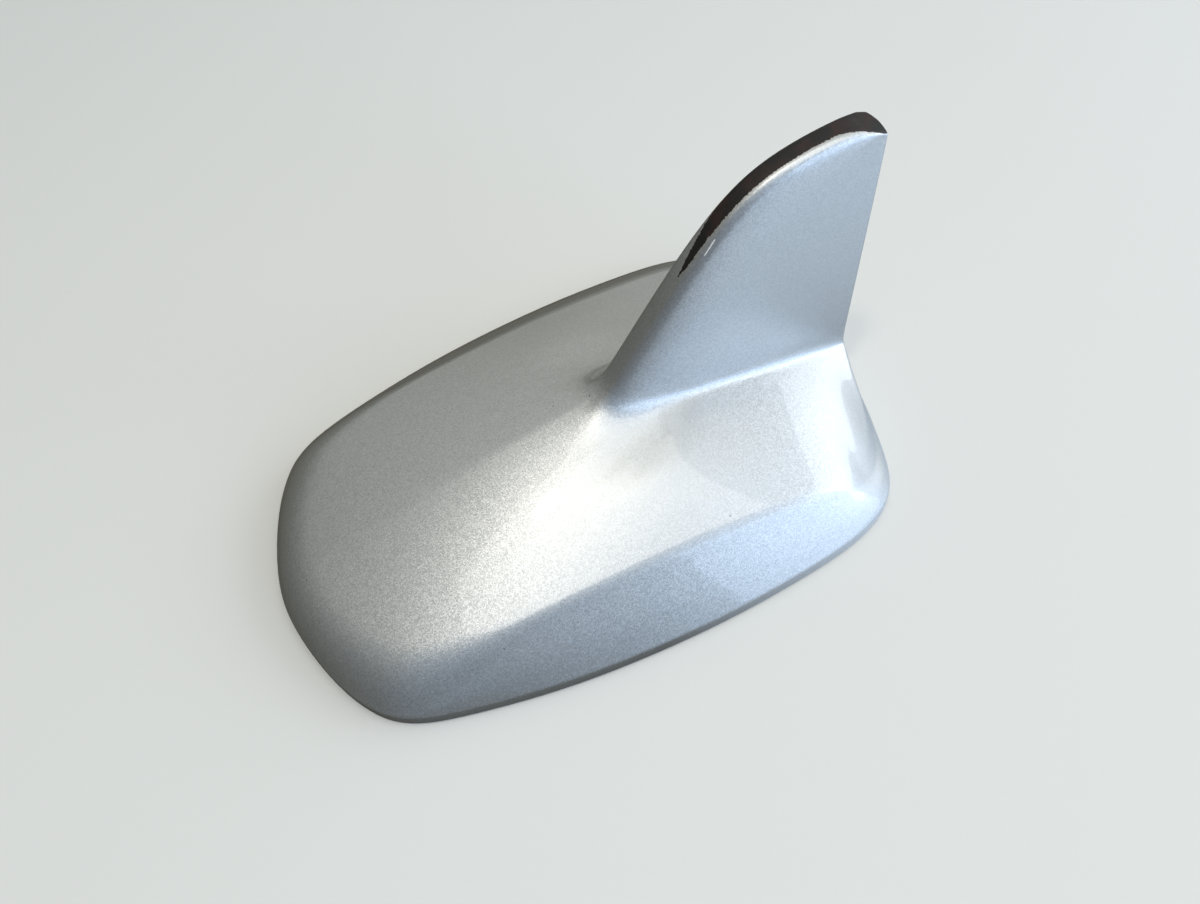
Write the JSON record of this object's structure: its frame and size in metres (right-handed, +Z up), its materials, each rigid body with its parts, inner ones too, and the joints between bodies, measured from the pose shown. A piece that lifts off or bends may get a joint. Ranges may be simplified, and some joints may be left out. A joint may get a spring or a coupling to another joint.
{
  "type": "vehicle roof antenna",
  "caption": "Low domed roof antenna cover with an upright swept fin, silver metallic paint, rubber roof gasket and one threaded fixing bush below.",
  "frame": {"origin": "centre of the bounding box in plan, on the underside of the roof gasket, where the antenna meets the roof", "axes": "+X towards the tail of the antenna, the low rounded nose is at -X; +Y to the side away from the camera in the picture; +Z up out of the roof"},
  "size_m": [0.116, 0.078, 0.0616],
  "materials": {
    "silver_paint": "silver metallic paint under clear lacquer, scraped to black along the top of the fin",
    "seal_rubber": "soft matt",
    "die_casting": "fine cast grain, satin",
    "gasket_rubber": "moulded matt",
    "circuit_board": "solder resist, satin",
    "patch_ceramic": "fired, matt",
    "silver_film": "printed film, satin",
    "gilt_pin": "plated, smooth",
    "white_tape": "thin matt",
    "tinned_can": "drawn sheet, satin",
    "component_body": "matt",
    "tinned_strip": "tinned, satin",
    "copper_foil": "etched, satin",
    "black_plastic": "moulded matt",
    "grey_foam": "open cells, matt",
    "yellow_zinc": "passivated, satin",
    "washer_steel": "stamped, satin",
    "grommet_rubber": "moulded matt",
    "vent_membrane": "fine weave, matt",
    "screw_steel": "turned, satin"
  },
  "bodies": {
    "root": {"cover": "silver_paint", "cover_seal": "seal_rubber", "base_plate": "die_casting", "roof_gasket": "gasket_rubber", "main_board": "circuit_board", "gps_patch": "patch_ceramic", "patch_electrode": "silver_film", "patch_feed_pin": "gilt_pin", "patch_tape": "white_tape", "amplifier_can": "tinned_can", "filter_can": "tinned_can", "board_components": "component_body", "contact_strip": "tinned_strip", "fin_board": "circuit_board", "fin_foil": "copper_foil", "fin_bracket": "black_plastic", "foam_pad": "grey_foam", "threaded_bush": "yellow_zinc", "earth_washer": "washer_steel", "cable_grommet": "grommet_rubber", "vent_plug": "vent_membrane", "board_screws": "screw_steel", "cover_screws": "screw_steel"}
  },
  "joints": []
}
